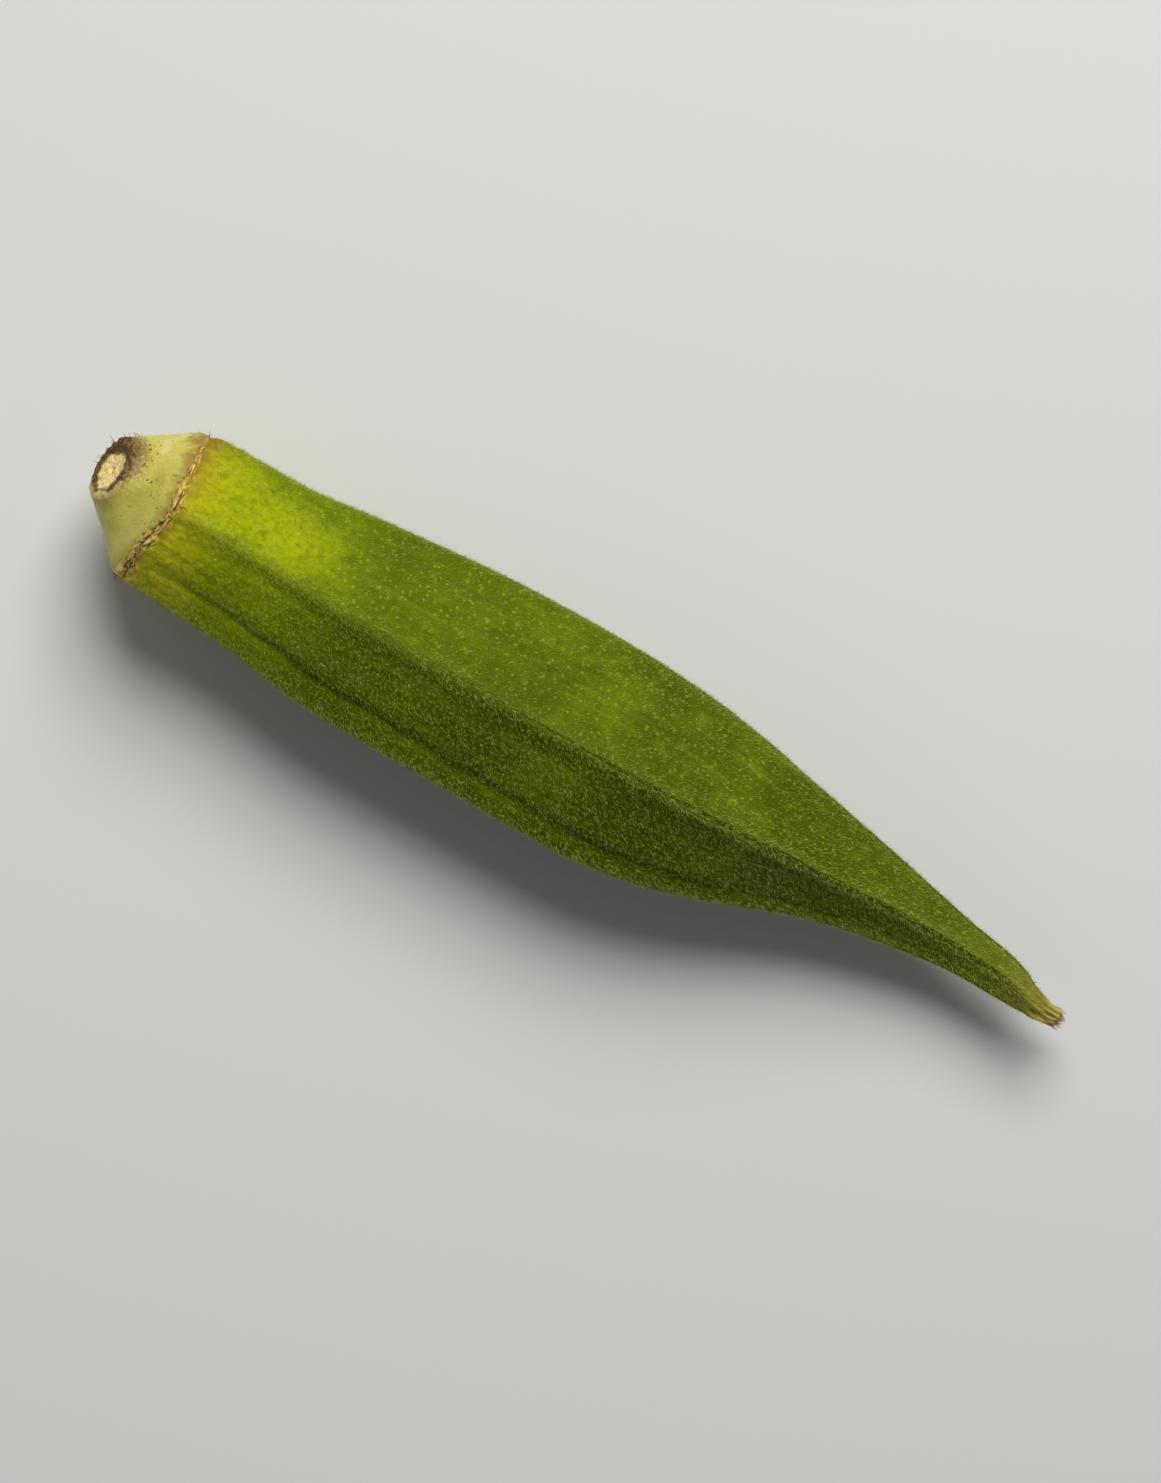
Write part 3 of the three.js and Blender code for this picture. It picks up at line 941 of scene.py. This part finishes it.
def makeDown(skin):
    random = np.random.default_rng(downSet["seed"])
    root, heading, length = growDown(skin, random)
    spike = modelSpike()
    thickness = downSet["thickness"] * mm * random.uniform(*downSet["thicknessSpread"], len(root))
    turn = random.uniform(0, 2 * np.pi, len(root))
    hairs = [dryFibre(name, colour) for name, colour, _ in downSet["kinds"]]
    shares = [share for _, _, share in downSet["kinds"]]
    each = downSet["hairsEach"]
    for i in range(downSet["pieces"]):
        own = slice(i * each, (i + 1) * each)
        grown = [values[own] for values in (root, heading, length, thickness, turn)]
        piece = copiesOf(spike, f"pod_down_{i + 1}", *grown)
        paintCopies(piece, hairs, random.choice(len(hairs), each, p=shares), len(spike.data.polygons))
        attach(piece, "root")
    bpy.data.objects.remove(spike)
    print("down:", len(root), "hairs")


makeDown(skin)


# Shreds of dried tissue at the ring, the beak's end and the stem's cut. They head round the pod, out from it
# and on to the beak, by the shares given.
shredSets = {
    "ring_shreds": {
        "count": 260,
        "length": (0.35, 1.0),
        "around": 1.0,
        "out": (0.05, 0.4),
        "onwards": 0.3,
        "brown": 0.55,  # share of the brown ones
    },
    "beak_shreds": {
        "count": 46,
        "length": (0.3, 0.8),
        "around": 0.3,
        "out": (0.0, 0.4),
        "onwards": 0.8,
        "brown": 0.25,
    },
    "bark_shreds": {
        "count": 60,
        "length": (0.25, 0.8),
        "around": 0.5,
        "out": (0.15, 0.6),
        "onwards": -0.5,
        "brown": 0.8,
    },
}
shredLook = {
    "seed": 7,
    "thickness": 0.055,  # radius, as a share of the length
    "taper": -0.75,
    "bend": 50,  # degrees
    "spread": 0.15,
    "aroundSpread": (0.4, 1),
    "onwardsSpread": (0.3, 1),
    "sunk": 0.02,
    "ringReach": 0.5,  # from the scar's middle
    "ringLeast": 0.2,
    "beakFrom": 92.2,
    "barkTo": -3.9,
    "barkFrom": 0.1,  # past the pith's edge
    "barkSideFrom": 0.1,  # 1 at the middle of the thick side, 0 a quarter turn away
    "kinds": [("dryBrownShred", "#5a3c1c"), ("corkyTanShred", "#b08a58")],
}


def modelShred():  # one shred, one unit long, thin at its end and curved
    deselectAll()
    radius = shredLook["thickness"]
    bpy.ops.mesh.primitive_cylinder_add(vertices=5, radius=radius, depth=1, location=(0, 0, 0.5))
    shred = bpy.context.object
    bpy.ops.object.transform_apply(location=True, rotation=True, scale=True)
    bpy.ops.object.mode_set(mode="EDIT")
    for height in (0.25, 0.5, 0.75):
        bpy.ops.mesh.select_all(action="SELECT")
        bpy.ops.mesh.bisect(plane_co=(0, 0, height), plane_no=(0, 0, 1))
    bpy.ops.object.mode_set(mode="OBJECT")
    bend = math.radians(shredLook["bend"])
    for method, axis, amount in (("TAPER", "Z", shredLook["taper"]), ("BEND", "X", bend)):
        deform = shred.modifiers.new(method.lower(), "SIMPLE_DEFORM")
        deform.deform_method = method
        deform.deform_axis = axis
        deform.factor = amount
        bpy.ops.object.modifier_apply(modifier=deform.name)
    return shred


def shredGround(mesh, name):  # how readily a set grows at each point of the skin
    place = vertexVectors(mesh, "podPlace")
    away, cork, crumbs = vertexVectors(mesh, "scarMarks").T
    if name == "ring_shreds":
        return np.where(np.abs(away) < shredLook["ringReach"], shredLook["ringLeast"] + cork + crumbs, 0)
    if name == "beak_shreds":
        return (place[:, 2] > shredLook["beakFrom"]).astype(float)
    onThick = place[:, :2] @ np.array(barkSide[:2]) > shredLook["barkSideFrom"]
    onBark = vertexVectors(mesh, "podMarks")[:, 2] > shredLook["barkFrom"]
    return (onThick & onBark & (place[:, 2] < shredLook["barkTo"])).astype(float)


def growShreds(mesh, name, settings, random):  # places, directions and lengths of one set, in metres
    weight = shredGround(mesh, name)
    count = settings["count"]
    chosen = random.choice(len(weight), count, p=weight / weight.sum())
    root = vertexVectors(mesh, "co")[chosen].astype(float)
    normal = np.array([mesh.vertices[i].normal for i in chosen])
    around = np.cross(normal, [1.0, 0, 0])
    around /= np.maximum(np.linalg.norm(around, axis=1, keepdims=True), 1e-6)
    share = settings["around"] * random.choice([-1, 1], count)
    heading = around * (share * random.uniform(*shredLook["aroundSpread"], count))[:, None]
    heading += normal * random.uniform(*settings["out"], count)[:, None]
    onwards = settings["onwards"] * random.uniform(*shredLook["onwardsSpread"], count)
    heading += np.array([1.0, 0, 0]) * onwards[:, None]
    heading += random.normal(0, shredLook["spread"], (count, 3))
    heading /= np.linalg.norm(heading, axis=1, keepdims=True)
    length = random.uniform(*settings["length"], count) * mm
    return root - normal * shredLook["sunk"] * mm, heading, length


def makeShreds(skin):
    random = np.random.default_rng(shredLook["seed"])
    shred = modelShred()
    materials = [dryFibre(name, colour) for name, colour in shredLook["kinds"]]
    for name, settings in shredSets.items():
        root, heading, length = growShreds(skin.data, name, settings, random)
        turn = random.uniform(0, 2 * np.pi, len(root))
        piece = copiesOf(shred, name, root, heading, length, length, turn)
        shares = [settings["brown"], 1 - settings["brown"]]
        paintCopies(piece, materials, random.choice(2, len(root), p=shares), len(shred.data.polygons))
        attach(piece, "root")
    bpy.data.objects.remove(shred)
    print("shreds made")


makeShreds(skin)


stageSet = {
    "floorSize": 6,  # metres
    "floorColour": "#dfe0e0",
    "floorRoughness": 0.8,
    "frameHeight": 133,  # how much of the table the camera takes in
    "lens": 135,
    "sensor": 36,
    "clip": (0.01, 20),  # metres
    "podTurn": 30,  # degrees that the pod points below level, to the right
    "roomColour": "#f2f3f4",
    "roomStrength": 0.13,
    # the lights' places and sizes in metres, their watts and their colours
    "lights": {
        "softbox": ((-0.12, 0.43, 0.54), 0.5, 5.0, "#fffdf8"),
        "fill": ((-0.35, -0.4, 0.55), 0.6, 0.25, "#f2f6ff"),
    },
}


def makeStage():  # a wide table top, painted matt and pale
    deselectAll()
    bpy.ops.mesh.primitive_plane_add(size=stageSet["floorSize"])
    floor = bpy.context.object
    floor.name = "table_top"
    material, tree = newMaterial("paleTableTop")
    paint = {"Base Color": stageSet["floorColour"], "Roughness": stageSet["floorRoughness"]}
    shader = addNode(tree, "BsdfPrincipled", paint)
    addNode(tree, "OutputMaterial", {"Surface": shader.outputs[0]})
    floor.data.materials.append(material)


def addLight(name, place, size, energy, colour):
    data = bpy.data.lights.new(name, "AREA")
    data.shape = "DISK"
    data.size = size
    data.energy = energy
    data.color = linear(colour)[:3]
    light = bpy.data.objects.new(name, data)
    bpy.context.scene.collection.objects.link(light)
    light.location = place
    light.rotation_euler = (-Vector(place)).to_track_quat("-Z", "Y").to_euler()


def makeRoom():  # even pale light from all sides
    world = bpy.data.worlds.new("room")
    world.use_nodes = True
    background = world.node_tree.nodes["Background"].inputs
    background["Color"].default_value = linear(stageSet["roomColour"])
    background["Strength"].default_value = stageSet["roomStrength"]
    bpy.context.scene.world = world


def makeCamera():  # straight above the middle of the pod
    data = bpy.data.cameras.new("camera")
    data.lens = stageSet["lens"]
    data.sensor_width = stageSet["sensor"]
    data.clip_start, data.clip_end = stageSet["clip"]
    camera = bpy.data.objects.new("camera", data)
    bpy.context.scene.collection.objects.link(camera)
    far = stageSet["frameHeight"] * mm * stageSet["lens"] / stageSet["sensor"]
    camera.location = (0, 0, far + cadBox[1].z / 2)
    camera.rotation_euler = (0, 0, math.radians(stageSet["podTurn"]))
    bpy.context.scene.camera = camera


makeStage()
for name, settings in stageSet["lights"].items():
    addLight(name, *settings)
makeRoom()
makeCamera()
bpy.context.scene.view_settings.view_transform = "Standard"
print("stage, lights and camera set")
